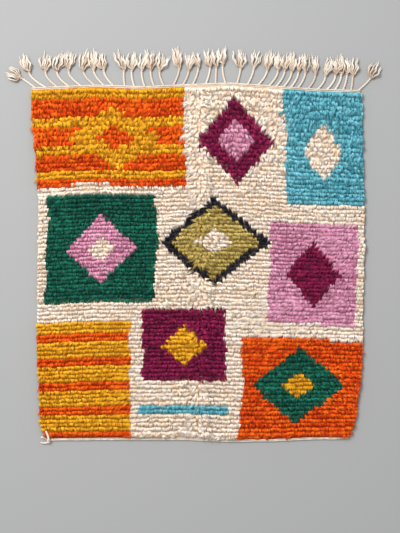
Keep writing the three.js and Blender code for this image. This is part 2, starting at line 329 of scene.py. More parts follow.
# %% [markdown]
# ## How the pile lies
# Pile is never upright. Here it leans down the rug and a little along its row, which is what makes each
# row look like a rope with a dark gap under it. Near the fringe it is longer and tousled, so the rows run
# together, and along an old fold down the middle it parts to both sides. Each knot gets a turn about
# the vertical, an extra tilt, a size, and a shade for the uneven dye of its row.

# %% Turn, tilt and length of the pile
FOLD_PLACE, FOLD_WIDTH = 0.497, 0.03
SHAG_STARTS, SHAG_ENDS, SHAG_WAVES = 0.7, 0.9, 0.05
# Turns of combed pile over the rug and from tuft to tuft, and of tousled pile in locks and by chance
COMBED_TURN, TUFT_TURN, LOCK_TURN, CHANCE_TURN = np.radians((52, 26, 36, 12))
# Turn to each side of the fold, and its chance
PARTED_TURN, PARTED_CHANCE = np.radians((55, 35))
# Tilt along a row and by chance, its limits, and how much less of it tousled pile has
ROW_TILT, CHANCE_TILT, LEAST_TILT, MOST_TILT = np.radians((12, 2, -20, 16))
SHAG_CALM = 0.9
# How much the size varies along a row and in patches, grows with tousling and shrinks along the fold
ROW_VARIES, PATCH_VARIES, SHAG_GROWS, FOLD_SHRINKS = 0.08, 0.07, 0.06, 0.1

own_y = y + FIELD_STEP * row
shag = np.clip((up - SHAG_STARTS + SHAG_WAVES * drift(x, y, 180, 41)) / (SHAG_ENDS - SHAG_STARTS), 0, 1)
from_fold = (across - FOLD_PLACE) / FOLD_WIDTH
fold = np.exp(-from_fold * from_fold)
combed = COMBED_TURN * drift(x, y, 330, 42) + TUFT_TURN * drift(x, y, 40, 43)
tousled = LOCK_TURN * drift(x, y, 120, 45) + CHANCE_TURN * rng.normal(0, 1, len(x))
turn = combed * (1 - shag) + tousled * shag
parted = PARTED_TURN * np.clip(2 * from_fold, -1, 1) + PARTED_CHANCE * rng.normal(0, 1, len(x))
turn = turn * (1 - fold) + parted * fold
tilt = ROW_TILT * drift(x, own_y, 26, 46) * (1 - SHAG_CALM * shag)
tilt = np.clip(tilt + CHANCE_TILT * shag * rng.normal(0, 1, len(x)), LEAST_TILT, MOST_TILT)
size = 1.0 + ROW_VARIES * drift(x, own_y, 50, 47) + PATCH_VARIES * drift(x, y, 170, 49)
size = size + SHAG_GROWS * shag - FOLD_SHRINKS * fold
print(f"{np.mean(shag > 0.5):.0%} of the pile is tousled")

# %% First and last rows, and stray knots
LAST_ROW_CALM = 0.3
FIRST_ROW_TURN = np.radians(66)
# How far the first row's knots lie in from the hem, and how far they wander there
FIRST_ROW_IN, FIRST_ROW_WANDER = 6, 7
# How far tousled tufts stray across and up the rug
SHAG_STRAY_ACROSS, SHAG_STRAY_UP = 1.2, 3

last = row == ROWS - 1
turn[last] *= LAST_ROW_CALM
tilt[last] *= LAST_ROW_CALM
shag[last] = 0
first = row == 0
turn[first] = FIRST_ROW_TURN * np.where(turn[first] > 0, 1, -1)
y[first] += FIRST_ROW_IN + FIRST_ROW_WANDER * drift(x[first], y[first], 60, 50)
x = x + SHAG_STRAY_ACROSS * shag * rng.normal(0, 1, len(x))
y = y + SHAG_STRAY_UP * shag * rng.normal(0, 1, len(x))
print(f"pile from {y.min():.0f} to {y.max():.0f} mm up the part")

# %% Size, kind and shade of each tuft
TUFT_KINDS = 8
TUFT_SPACING = 17.5
# A turned tuft is lengthened to cover its row, up to this much
MOST_LENGTHENED = 1.15
MOST_SIZE = 1.3
FIRST_ROW_SIZE = 0.82
# Knots from a side of the rug over which the pile comes straight
EDGE_KNOTS = 2.5
# How far the dye varies from row to row, from patch to patch and from knot to knot
ROW_DYE, PATCH_DYE, KNOT_DYE = 0.09, 0.15, 0.16

spacing = LENGTH * np.gradient(row_up(np.arange(ROWS)))
row_size = shag + (1 - shag) * spacing[row] / TUFT_SPACING
lengthened = np.minimum(MOST_LENGTHENED, 1 / np.cos(np.clip(turn, -1, 1)) ** 0.5)
size = np.minimum(size * row_size * lengthened, MOST_SIZE)
size[first] *= FIRST_ROW_SIZE
near_edge = np.exp(-np.minimum(knot, KNOTS_PER_ROW - 1 - knot) / EDGE_KNOTS)
turn = turn * (1 - near_edge)
lie = rng.integers(0, TUFT_KINDS, len(x)) + TUFT_KINDS * (rng.random(len(x)) < np.maximum(shag, fold))
row_shade = ROW_DYE * rng.normal(0, 1, ROWS)[row]
shade = 0.5 + row_shade + PATCH_DYE * drift(x, y, 90, 48) + KNOT_DYE * rng.normal(0, 1, len(x))
shade = np.clip(shade, 0, 1)
print(f"turn {np.degrees(turn.min()):.0f} to {np.degrees(turn.max()):.0f} degrees")

# %% [markdown]
# ## One knot's yarn
# A knot's two cut ends soon open into strands of wool that stand up, bend over and taper to a point. Three
# corners round, two rings and a tip are enough for something a pixel wide, because smooth shading rounds
# them. Sixteen uneven tufts are made once, eight combed and eight tousled. Each strand has its own tone, a
# value along its length and a little map, and the pile then repeats the tufts.

# %% Strands
YARN_ENDS = 2
STRANDS_EACH = 3
STRANDS = YARN_ENDS * STRANDS_EACH
CORNERS = 3
UNDERSIDE = 1
# Places of a strand's root and bend up its strip of the map
ROOT_ON_MAP, BEND_ON_MAP = 0.05, 0.5


def strand_skin(first, tip, strand):
    """A strand's faces, which of them are smooth, and where their corners lie on the tuft's map."""
    faces, smooth, on_map = [], [], []
    wide = 1 / STRANDS
    left = strand * wide
    for corner in range(CORNERS):
        a, b = first + corner, first + (corner + 1) % CORNERS
        u0, u1 = left + wide * corner / CORNERS, left + wide * (corner + 1) / CORNERS
        faces += [(a, b, b + CORNERS, a + CORNERS), (a + CORNERS, b + CORNERS, tip)]
        smooth += [corner != UNDERSIDE] * 2
        on_map += [(u0, ROOT_ON_MAP), (u1, ROOT_ON_MAP), (u1, BEND_ON_MAP), (u0, BEND_ON_MAP)]
        on_map += [(u0, BEND_ON_MAP), (u1, BEND_ON_MAP), ((u0 + u1) / 2, 1.0)]
    faces.append(tuple(first + corner for corner in reversed(range(CORNERS))))
    smooth.append(False)
    on_map += [(left, 0.0), (left + wide, 0.0), (left, ROOT_ON_MAP)]
    return faces, smooth, on_map


print(STRANDS, "strands of", len(strand_skin(0, 2 * CORNERS, 0)[0]), "faces in a tuft")

# %% Tuft shapes
TUFT_SEED = 500
STRAND_RADIUS = 2.0
STRAND_SPACING = 1.4
END_SPACING = 5.2
ROOT_HEIGHT = 2.0
TIP_FORWARD = 19.5
# How much steeper a strand leaves its knot than it goes on
STEEP_ROOT = 30
# Share of a strand's splay that its lower part takes, and the most splay of a yarn end
LOWER_SPLAY, MOST_SPLAY = 0.3, 1.3
# How far the strands of one yarn end differ in tone and reach, and in rise and thickness
TONE_STRAY, REACH_STRAY = 0.4, 0.08
STRAND_RISE, STRAND_THICKNESS = (0.92, 1.04), (0.8, 1.2)
# Heights of the bend and the tip, sideways spread of the yarn ends and of their strands, least and greatest
# reach, least and greatest rise
LIES = (
    (16.2, 17.2, 3.2, 1.4, 0.92, 1.42, 0.88, 1.06),  # combed
    (17.2, 18.8, 3.2, 3.0, 1.4, 1.9, 0.94, 1.04),  # tousled
)


def tuft_mesh(number):
    """The strands of wool that rise from one knot and lean down the rug."""
    chance = np.random.default_rng(TUFT_SEED + number)
    lie_sizes = LIES[number // TUFT_KINDS]
    bend_height, tip_height, spread, loose, least_reach, most_reach, least_rise, most_rise = lie_sizes
    # Forward of the knot, height, share of the strand's radius, share along the strand
    rings = ((-1.0, ROOT_HEIGHT, 0.9, 0.0), (2.0, bend_height, 1.2, 0.5))
    points, faces, smooth, places, tones, corners_on_map = [], [], [], [], [], []
    for strand in range(STRANDS):
        first = len(points)
        if strand % STRANDS_EACH == 0:
            end_splay = spread * np.clip(chance.normal(), -MOST_SPLAY, MOST_SPLAY)
            end_tone = chance.uniform(-1, 1)
            end_reach = chance.uniform(least_reach, most_reach)
            end_rise = chance.uniform(least_rise, most_rise)
        start = (strand // STRANDS_EACH - (YARN_ENDS - 1) / 2) * END_SPACING
        start += (strand % STRANDS_EACH - (STRANDS_EACH - 1) / 2) * STRAND_SPACING
        splay = end_splay + chance.normal(0, loose)
        tone = end_tone + chance.uniform(-TONE_STRAY, TONE_STRAY)
        reach = end_reach * (1 + REACH_STRAY * loose * chance.uniform(-1, 1))
        rise = end_rise * chance.uniform(*STRAND_RISE)
        tip = np.array([start + splay, -TIP_FORWARD * reach, tip_height * rise])
        for forward, height, thick, along in rings:
            middle = np.array([start + LOWER_SPLAY * splay * along, -forward * reach, height * rise])
            run = (tip - middle) * (0, 1, 1) + (0, 0, STEEP_ROOT * (1 - along))
            square = np.cross(run / np.linalg.norm(run), (1, 0, 0))
            for corner in range(CORNERS):
                angle = math.tau * (corner / CORNERS + 0.25)
                out = math.cos(angle) * np.array([1, 0, 0]) + math.sin(angle) * square
                radius = STRAND_RADIUS * thick * chance.uniform(*STRAND_THICKNESS)
                points.append((middle + out * radius) * MM)
                places.append(along)
        points.append(tip * MM)
        places.append(1.0)
        tones += [tone] * (len(points) - first)
        strand_faces, strand_smooth, strand_map = strand_skin(first, len(points) - 1, strand)
        faces += strand_faces
        smooth += strand_smooth
        corners_on_map += strand_map
    mesh = bpy.data.meshes.new(f"tuft {number:02}")
    mesh.from_pydata([tuple(p) for p in points], [], faces)
    mesh.polygons.foreach_set("use_smooth", smooth)
    mesh.attributes.new("along", "FLOAT", "POINT").data.foreach_set("value", places)
    mesh.attributes.new("tone", "FLOAT", "POINT").data.foreach_set("value", tones)
    mesh.uv_layers.new(name="OFBake").uv.foreach_set("vector", np.array(corners_on_map, np.float32).ravel())
    return mesh


tufts = bpy.data.collections.new("tufts")
for number in range(TUFT_KINDS * len(LIES)):
    tufts.objects.link(bpy.data.objects.new(f"tuft {number:02}", tuft_mesh(number)))
tuft_corners = len(tufts.objects[0].data.loops)

# %% [markdown]
# ## Growing the pile
# Thousands of like tufts are a job for Geometry Nodes. The tree puts a tuft on every knot, turned, tilted
# and sized by the knot's own values with a little chance on top, and then makes real mesh of them. A
# modifier's inputs are set by their identifiers, and the result is kept as a plain mesh.


# %% Geometry Nodes helpers
def new_geometry_tree(name, inputs):
    """A Geometry Nodes tree with named inputs, and its input node."""
    tree = bpy.data.node_groups.new(name, "GeometryNodeTree")
    tree.interface.new_socket("Geometry", in_out="INPUT", socket_type="NodeSocketGeometry")
    for label, kind in inputs.items():
        tree.interface.new_socket(label, in_out="INPUT", socket_type=kind)
    tree.interface.new_socket("Geometry", in_out="OUTPUT", socket_type="NodeSocketGeometry")
    return tree, tree.nodes.new("NodeGroupInput").outputs


def grow(name, start, tree, values):
    """Runs a tree on a mesh and keeps what it makes as a plain mesh on a new object."""
    piece = bpy.data.objects.new(name, start)
    bpy.context.collection.objects.link(piece)
    modifier = piece.modifiers.new("grow", "NODES")
    modifier.node_group = tree
    for item in tree.interface.items_tree:
        if item.in_out == "INPUT" and item.name in values:
            modifier[item.identifier] = values[item.name]
    graph = bpy.context.evaluated_depsgraph_get()
    grown = piece.evaluated_get(graph)
    made = bpy.data.meshes.new_from_object(grown, preserve_all_data_layers=True, depsgraph=graph)
    piece.modifiers.clear()
    piece.data = made
    made.name = name
    return piece


def triangles_of(piece):
    """How many triangles a piece has."""
    return sum(len(face.vertices) - 2 for face in piece.data.polygons)


# %% Tree that grows tufts on knots
pile_tree, given = new_geometry_tree(
    "pile",
    {
        "Tufts": "NodeSocketCollection",
        "Loose Turn": "NodeSocketFloat",
        "Uneven Size": "NodeSocketFloat",
        "Seed": "NodeSocketInt",
        "Wool": "NodeSocketMaterial",
    },
)
stored = {
    name: add_node(pile_tree, "GeometryNodeInputNamedAttribute", {"Name": name}, data_type="FLOAT").outputs[0]
    for name in ("turn", "tilt", "size")
}
less = add_node(pile_tree, "ShaderNodeMath", {0: given["Loose Turn"], 1: -1.0}, operation="MULTIPLY")
turn_chance = add_node(
    pile_tree,
    "FunctionNodeRandomValue",
    {2: less.outputs[0], 3: given["Loose Turn"], "Seed": given["Seed"]},
    data_type="FLOAT",
)
turned = add_node(
    pile_tree, "ShaderNodeMath", {0: stored["turn"], 1: turn_chance.outputs[1]}, operation="ADD"
)
angles = add_node(pile_tree, "ShaderNodeCombineXYZ", {"X": stored["tilt"], "Z": turned.outputs[0]})
smallest = add_node(pile_tree, "ShaderNodeMath", {0: 1.0, 1: given["Uneven Size"]}, operation="SUBTRACT")
largest = add_node(pile_tree, "ShaderNodeMath", {0: 1.0, 1: given["Uneven Size"]}, operation="ADD")
size_seed = add_node(pile_tree, "ShaderNodeMath", {0: given["Seed"], 1: 1.0}, operation="ADD")
size_chance = add_node(
    pile_tree,
    "FunctionNodeRandomValue",
    {2: smallest.outputs[0], 3: largest.outputs[0], "Seed": size_seed.outputs[0]},
    data_type="FLOAT",
)
sized = add_node(
    pile_tree, "ShaderNodeMath", {0: stored["size"], 1: size_chance.outputs[1]}, operation="MULTIPLY"
)
lie_value = add_node(pile_tree, "GeometryNodeInputNamedAttribute", {"Name": "lie"}, data_type="INT")
shapes = add_node(
    pile_tree,
    "GeometryNodeCollectionInfo",
    {"Collection": given["Tufts"], "Separate Children": True, "Reset Children": True},
)
planted = add_node(
    pile_tree,
    "GeometryNodeInstanceOnPoints",
    {
        "Points": given["Geometry"],
        "Instance": shapes.outputs[0],
        "Pick Instance": True,
        "Instance Index": lie_value.outputs[0],
        "Rotation": angles.outputs[0],
        "Scale": sized.outputs[0],
    },
)
real = add_node(pile_tree, "GeometryNodeRealizeInstances", {"Geometry": planted.outputs[0]})
dressed = add_node(
    pile_tree, "GeometryNodeSetMaterial", {"Geometry": real.outputs[0], "Material": given["Wool"]}
)
add_node(pile_tree, "NodeGroupOutput", {"Geometry": dressed.outputs[0]})
print(len(pile_tree.nodes), "nodes in the pile's tree")

# %% [markdown]
# ## Dyed wool
# The pile is hand-spun wool, dyed in small lots, so one colour runs from a deep to a light tone. Each tuft
# takes its tone from the shade of its dye, its root is painted darker than its tip as the shade deep in the
# pile, and flecks of paler fibre break it up.
# Wool scatters light in a soft bloom at its edges, which is the sheen, lets some light run through its
# fibres, which is the subsurface, and has almost no gloss. Real fibres are a fortieth of a millimetre
# thick, so the flecks are drawn 3.5 mm wide to show at all.

# %% Wool for each colour of yarn
FLECK = 3.5
# Height of the nap, and how far light runs through the wool
NAP, LIGHT_RUN = 0.6, 5
# Shares along a strand over which the painted shade at its root fades out
DARK_TO, CLEAR_FROM = 0.05, 0.6

# Deep, middle and light tone of each yarn
TONES = {
    "cream": ("#e4c4a4", "#f2dcc7", "#f7e6d6"),
    "orange": ("#b42c03", "#e64d07", "#f97012"),
    "saffron": ("#be7a12", "#e69b17", "#f6b52a"),
    "emerald": ("#0a372b", "#105341", "#1a715a"),
    "plum": ("#520c28", "#76123c", "#961c4e"),
    "mauve": ("#b56c88", "#d58ba5", "#eaa8c0"),
    "turquoise": ("#3f8896", "#5ea8b6", "#7cc4d0"),
    "olive": ("#8f7738", "#b59a50", "#cdb26a"),
    "black": ("#131218", "#1f1e26", "#33313a"),
}


def dyed_wool(yarn_name):
    """Matt woollen yarn in one dye, from its deep tone to its light one."""
    deep, middle, light = (linear(tone) for tone in TONES[yarn_name])
    material, tree = new_material(f"{yarn_name} dyed wool")
    shade_value = add_node(tree, "ShaderNodeAttribute", attribute_name="shade")
    along_value = add_node(tree, "ShaderNodeAttribute", attribute_name="along")
    tone_value = add_node(tree, "ShaderNodeAttribute", attribute_name="tone")
    toned = add_node(
        tree,
        "ShaderNodeMath",
        {0: tone_value.outputs["Fac"], 1: 0.4, 2: shade_value.outputs["Fac"]},
        operation="MULTIPLY_ADD",
    )
    along = along_value.outputs["Fac"]
    # Painted shade: near its root a strand's tone sinks towards the deep one
    root_shade_tone = add_node(tree, "ShaderNodeMapRange", {"Value": along, 1: DARK_TO, 2: CLEAR_FROM, 3: -0.2, 4: 0.0})
    level = add_node(tree, "ShaderNodeMath", {0: toned.outputs[0], 1: root_shade_tone.outputs[0]}, operation="ADD")
    tones = add_node(tree, "ShaderNodeValToRGB", {"Fac": level.outputs[0]})
    tones.color_ramp.elements[0].color = deep
    tones.color_ramp.elements[1].color = light
    tones.color_ramp.elements.new(0.5).color = middle
    place = add_node(tree, "ShaderNodeTexCoord").outputs["Object"]
    fibres = add_node(tree, "ShaderNodeTexNoise", {"Vector": place, "Scale": 1 / (FLECK * MM), "Detail": 2.0})
    fibre = fibres.outputs["Fac"]
    # Painted shade: the root is darkened as well, and the flecks of paler fibre then vary every part
    root = add_node(tree, "ShaderNodeMapRange", {"Value": along, 1: DARK_TO, 2: CLEAR_FROM, 3: 0.9, 4: 1.0})
    fleck = add_node(tree, "ShaderNodeMapRange", {"Value": fibre, 1: 0.3, 2: 0.7, 3: 0.86, 4: 1.1})
    root_shade_and_fleck = add_node(tree, "ShaderNodeMath", {0: root.outputs[0], 1: fleck.outputs[0]}, operation="MULTIPLY")
    tinted = {0: tones.outputs["Color"], "Scale": root_shade_and_fleck.outputs[0]}
    colour = add_node(tree, "ShaderNodeVectorMath", tinted, operation="SCALE")
    nap = add_node(tree, "ShaderNodeBump", {"Height": fibre, "Strength": 0.5, "Distance": NAP * MM})
    shader = add_node(
        tree,
        "ShaderNodeBsdfPrincipled",
        {
            "Base Color": colour.outputs[0],
            "Roughness": 0.92,
            "Specular IOR Level": 0.2,
            "Sheen Weight": 0.25,
            "Sheen Roughness": 0.5,
            "Sheen Tint": light,
            "Subsurface Weight": 0.5,
            "Subsurface Radius": (1.0, 0.8, 0.6),
            "Subsurface Scale": LIGHT_RUN * MM,
            "Normal": nap.outputs[0],
        },
    )
    put_on_surface(tree, shader)
    return material


# %% Grow every yarn's share of the pile
MOST_KNOTS = 3400
KNOT_HEIGHT = 0.8
# Share of a tuft's square that is left free along each side of the map
MAP_MARGIN = 0.1


def knots_mesh(chosen):
    """Points for the chosen knots, with their turn, tilt, size and shade."""
    mesh = bpy.data.meshes.new("knots")
    mesh.from_pydata([(x[k] * MM, y[k] * MM, KNOT_HEIGHT * MM) for k in chosen], [], [])
    for name, values in (("turn", turn), ("tilt", tilt), ("size", size), ("shade", shade)):
        layer = mesh.attributes.new(name, "FLOAT", "POINT")
        layer.data.foreach_set("value", values[chosen].astype(np.float32))
    mesh.attributes.new("lie", "INT", "POINT").data.foreach_set("value", lie[chosen].astype(np.int32))
    return mesh


def spread_map(piece):
    """Gives each tuft its own square of the piece's map."""
    layer = piece.data.uv_layers["OFBake"]
    places = np.empty(2 * len(layer.uv), np.float32)
    layer.uv.foreach_get("vector", places)
    number = np.arange(len(layer.uv)) // tuft_corners
    squares = math.ceil(math.sqrt(number[-1] + 1))
    corner = np.stack([number % squares, number // squares], 1)
    spread = (corner + MAP_MARGIN + (1 - 2 * MAP_MARGIN) * places.reshape(-1, 2)) / squares
    layer.uv.foreach_set("vector", spread.astype(np.float32).ravel())


pile = []
for number, yarn_name in enumerate(YARNS):
    wool = dyed_wool(yarn_name)
    chosen = np.flatnonzero(yarn == number)
    parts = np.array_split(chosen, math.ceil(len(chosen) / MOST_KNOTS))
    for part_number, part in enumerate(parts):
        name = f"pile_{yarn_name}" + (f"_{part_number + 1}" if len(parts) > 1 else "")
        values = {"Tufts": tufts, "Loose Turn": 0.35, "Uneven Size": 0.1, "Seed": 70 + number, "Wool": wool}
        piece = grow(name, knots_mesh(part), pile_tree, values)
        spread_map(piece)
        for spare in ("turn", "tilt", "size", "lie"):
            piece.data.attributes.remove(piece.data.attributes[spare])
        pile.append(piece)
print({piece.name: triangles_of(piece) for piece in pile})

# %% [markdown]
# ## The woven ground
# Under the pile lies a thick cloth of warps and wefts, bare only at its two narrow hems. It is a closed
# sheet, four millimetres thick, whose underside rests on the floor. The collars of the knots lift its face
# under the pile, higher where the pile is long, and they show on both faces, so each point takes its yarn
# from the chart, in the yarn's deep tone, which also paints shade into the gaps between the tufts.
# Modelling every thread would cost far more than shows between the tufts, so the threads are in its material.

# %% Ground sheet
WEAVE = 4.0
COLLAR = 4.0
SHAG_COLLAR = 5.0
GROUND_COLUMNS = 70
RIB, UNDER_RIB = 0.8, 0.3
# Keeps a line of the grid that lies on the border of the pile on one side of it
HAIR = 1e-9

ground_row = np.concatenate([[0, 0], np.arange(0, ROWS + 1), [ROWS, ROWS]])
pile_start, pile_end = row_up(0), row_up(ROWS)
ground_up = np.concatenate([[0, pile_start / 2], row_up(np.arange(0, ROWS + 1)), [(1 + pile_end) / 2, 1]])
ground_across = np.linspace(0, 1, GROUND_COLUMNS + 1)
grid_across, grid_up = np.meshgrid(ground_across, ground_up)
grid_x, grid_y = in_plan(grid_across, grid_up)
piled = (grid_up > pile_start + HAIR) & (grid_up < pile_end - HAIR)
filled = np.clip((grid_up - SHAG_STARTS) / (SHAG_ENDS - SHAG_STARTS), 0, 1)
collar = (COLLAR + SHAG_COLLAR * filled) * piled
top_z = WEAVE - RIB * (0.5 + 0.5 * drift(grid_x, grid_y, 18, 61)) + collar
under_z = UNDER_RIB * (1 + drift(grid_x, grid_y, 14, 62))
lines, columns = grid_x.shape
numbers = np.arange(lines * columns).reshape(lines, columns)
cells = np.stack([numbers[:-1, :-1], numbers[:-1, 1:], numbers[1:, 1:], numbers[1:, :-1]], -1).reshape(-1, 4)
rim = np.concatenate([numbers[0, :-1], numbers[:-1, -1], numbers[-1, :0:-1], numbers[:0:-1, 0]])
lower = lines * columns
wall = np.stack([rim + lower, np.roll(rim, -1) + lower, np.roll(rim, -1), rim], -1)
ground_points = np.concatenate(
    [np.stack([grid_x, grid_y, z], -1).reshape(-1, 3) for z in (top_z, under_z)]
)
ground_faces = np.concatenate([cells, cells[:, ::-1] + lower, wall])
ground_mesh = bpy.data.meshes.new("ground_weave")
ground_mesh.from_pydata((ground_points * MM).tolist(), [], ground_faces.tolist())
ground_mesh.shade_smooth()
print("ground of", lines, "by", columns, "points on each face")

# %% Colours of the ground
UNDYED = "#d3c6b6"

grid_row = np.broadcast_to(np.minimum(ground_row, ROWS - 1)[:, None], grid_x.shape)
ground_yarn = yarn_at(grid_x, grid_y, grid_across, grid_up, grid_row)
# Each point takes its yarn's deep tone: the collars' dye, darkened as painted shade for the gaps between
# tufts
dye_and_gap_shade = np.array([linear(TONES[name][0]) for name in YARNS])[ground_yarn]
dye_and_gap_shade[(grid_up < pile_start - HAIR) | (grid_up > pile_end + HAIR)] = linear(UNDYED)
ground_mesh.attributes.new("dye_and_gap_shade", "FLOAT_COLOR", "POINT").data.foreach_set(
    "color", np.tile(dye_and_gap_shade.reshape(-1, 4), (2, 1)).astype(np.float32).ravel()
)
ground = bpy.data.objects.new("ground_weave", ground_mesh)
bpy.context.collection.objects.link(ground)
print("ground weave:", triangles_of(ground), "triangles")

# %% [markdown]
# ## Undyed wool, woven and twisted
# Warps, hems and fringe are undyed sheep's wool, off-white with a tan cast in places. The woven ground
# shows weft ribs about four millimetres apart. The cords are painted tan as shade in the heart of a knot and
# run to off-white at their tips, and flecks of fibre, drawn 1.6 mm wide to show, break them up.

# %% Woven ground material
WEFT_SPACING = 4.0
# A wave texture of scale one repeats after this length
WAVE_REPEAT = 0.314
RIB_HEIGHT = 1.0

ground_wool, tree = new_material("undyed wool weave")
place = add_node(tree, "ShaderNodeTexCoord").outputs["Object"]
weft_scale = WAVE_REPEAT / (WEFT_SPACING * MM)
wefts = add_node(
    tree,
    "ShaderNodeTexWave",
    {"Vector": place, "Scale": weft_scale, "Distortion": 1.5, "Detail Scale": 2.0},
    bands_direction="Y",
)
weft = wefts.outputs["Fac"]
dye_value = add_node(tree, "ShaderNodeAttribute", attribute_name="dye_and_gap_shade")
# Painted shade: the hollows between the weft ribs are darker
rows_shade = add_node(tree, "ShaderNodeMapRange", {"Value": weft, 3: 0.72, 4: 1.0})
tinted = {0: dye_value.outputs["Color"], "Scale": rows_shade.outputs[0]}
colour = add_node(tree, "ShaderNodeVectorMath", tinted, operation="SCALE")
ribs = add_node(tree, "ShaderNodeBump", {"Height": weft, "Strength": 0.8, "Distance": RIB_HEIGHT * MM})
shader = add_node(
    tree,
    "ShaderNodeBsdfPrincipled",
    {
        "Base Color": colour.outputs[0],
        "Roughness": 0.95,
        "Specular IOR Level": 0.2,
        "Normal": ribs.outputs[0],
    },
)
put_on_surface(tree, shader)
ground_mesh.materials.append(ground_wool)
print("weft ribs", WEFT_SPACING, "mm apart")

# %% Twisted cord material
STREAK = 1.6
CORD_NAP = 0.5
# Tone in the heart of a knot, painted as its shade, then along a cord, and at the tips
CORD_TONES = ("#8f6645", "#c3b09c", "#e0d8cd")

cord_wool, tree = new_material("undyed twisted wool")
shade_value = add_node(tree, "ShaderNodeAttribute", attribute_name="shade")
place = add_node(tree, "ShaderNodeTexCoord").outputs["Object"]
streaks = add_node(tree, "ShaderNodeTexNoise", {"Vector": place, "Scale": 1 / (STREAK * MM), "Detail": 2.0})
streak = streaks.outputs["Fac"]
tones = add_node(tree, "ShaderNodeValToRGB", {"Fac": shade_value.outputs["Fac"]})
tones.color_ramp.elements[0].color = linear(CORD_TONES[0])
tones.color_ramp.elements[1].color = linear(CORD_TONES[2])
tones.color_ramp.elements.new(0.5).color = linear(CORD_TONES[1])
fleck = add_node(tree, "ShaderNodeMapRange", {"Value": streak, 1: 0.3, 2: 0.7, 3: 0.88, 4: 1.06})
tinted = {0: tones.outputs["Color"], "Scale": fleck.outputs[0]}
colour = add_node(tree, "ShaderNodeVectorMath", tinted, operation="SCALE")
nap = add_node(tree, "ShaderNodeBump", {"Height": streak, "Strength": 0.5, "Distance": CORD_NAP * MM})
shader = add_node(
    tree,
    "ShaderNodeBsdfPrincipled",
    {
        "Base Color": colour.outputs[0],
        "Roughness": 0.9,
        "Specular IOR Level": 0.25,
        "Sheen Weight": 0.15,
        "Sheen Roughness": 0.5,
        "Normal": nap.outputs[0],
    },
)
put_on_surface(tree, shader)
print("undyed wool, woven and twisted")

# %% [markdown]
# ## A tree for twisted cords
# A cord here is two strands twisted round each other, and a loose end is one strand that keeps a little of
# the twist. Drawing helices by hand is slow, so a tree takes plain routes, repeats each one for its strands,
# swings the copies round it as they go along, and sweeps a round section. A route point carries the cord's
# radius, so a cord can swell and taper.

# %% Tree that twists cords along routes
# Shares of a cord's radius: how far a strand lies from the middle, and the strand's own radius
STRAND_OFFSET, STRAND_SHARE = 0.45, 0.56
cord_tree, given = new_geometry_tree(
    "twisted cord",
    {
        "Step": "NodeSocketFloat",
        "Twist": "NodeSocketFloat",
        "Strands": "NodeSocketInt",
        "Corners": "NodeSocketInt",
        "Wool": "NodeSocketMaterial",
    },
)
thick = add_node(
    cord_tree, "GeometryNodeInputNamedAttribute", {"Name": "thick"}, data_type="FLOAT"
).outputs[0]
routes = add_node(cord_tree, "GeometryNodeMeshToCurve", {"Mesh": given["Geometry"]})
even = add_node(
    cord_tree,
    "GeometryNodeResampleCurve",
    {"Curve": routes.outputs[0], "Length": given["Step"]},
    mode="LENGTH",
)
doubled = add_node(
    cord_tree,
    "GeometryNodeDuplicateElements",
    {"Geometry": even.outputs[0], "Amount": given["Strands"]},
    domain="SPLINE",
)
gone = add_node(cord_tree, "GeometryNodeSplineParameter").outputs["Length"]
turns = add_node(cord_tree, "ShaderNodeMath", {0: gone, 1: given["Twist"]}, operation="DIVIDE")
share = add_node(
    cord_tree,
    "ShaderNodeMath",
    {0: doubled.outputs["Duplicate Index"], 1: given["Strands"]},
    operation="DIVIDE",
)
phase = add_node(cord_tree, "ShaderNodeMath", {0: turns.outputs[0], 1: share.outputs[0]}, operation="ADD")
angle = add_node(cord_tree, "ShaderNodeMath", {0: phase.outputs[0], 1: math.tau}, operation="MULTIPLY")
sine = add_node(cord_tree, "ShaderNodeMath", {0: angle.outputs[0]}, operation="SINE")
cosine = add_node(cord_tree, "ShaderNodeMath", {0: angle.outputs[0]}, operation="COSINE")
normal = add_node(cord_tree, "GeometryNodeInputNormal").outputs[0]
tangent = add_node(cord_tree, "GeometryNodeInputTangent").outputs[0]
square = add_node(cord_tree, "ShaderNodeVectorMath", {0: tangent, 1: normal}, operation="CROSS_PRODUCT")
first_part = add_node(
    cord_tree, "ShaderNodeVectorMath", {0: normal, "Scale": cosine.outputs[0]}, operation="SCALE"
)
second_part = add_node(
    cord_tree, "ShaderNodeVectorMath", {0: square.outputs[0], "Scale": sine.outputs[0]}, operation="SCALE"
)
swing = add_node(
    cord_tree, "ShaderNodeVectorMath", {0: first_part.outputs[0], 1: second_part.outputs[0]}, operation="ADD"
)
apart = add_node(cord_tree, "ShaderNodeMath", {0: thick, 1: STRAND_OFFSET}, operation="MULTIPLY")
shift = add_node(
    cord_tree, "ShaderNodeVectorMath", {0: swing.outputs[0], "Scale": apart.outputs[0]}, operation="SCALE"
)
twisted = add_node(
    cord_tree,
    "GeometryNodeSetPosition",
    {"Geometry": doubled.outputs["Geometry"], "Offset": shift.outputs[0]},
)
section = add_node(
    cord_tree, "GeometryNodeCurvePrimitiveCircle", {"Resolution": given["Corners"], "Radius": 1.0}
)
strand_radius = add_node(cord_tree, "ShaderNodeMath", {0: thick, 1: STRAND_SHARE}, operation="MULTIPLY")
swept = add_node(
    cord_tree,
    "GeometryNodeCurveToMesh",
    {
        "Curve": twisted.outputs[0],
        "Profile Curve": section.outputs[0],
        "Scale": strand_radius.outputs[0],
        "Fill Caps": True,
    },
)
real = add_node(cord_tree, "GeometryNodeRealizeInstances", {"Geometry": swept.outputs[0]})
smooth = add_node(cord_tree, "GeometryNodeSetShadeSmooth", {"Geometry": real.outputs[0]})
dressed = add_node(
    cord_tree, "GeometryNodeSetMaterial", {"Geometry": smooth.outputs[0], "Material": given["Wool"]}
)
add_node(cord_tree, "NodeGroupOutput", {"Geometry": dressed.outputs[0]})
print(len(cord_tree.nodes), "nodes in the cords' tree")


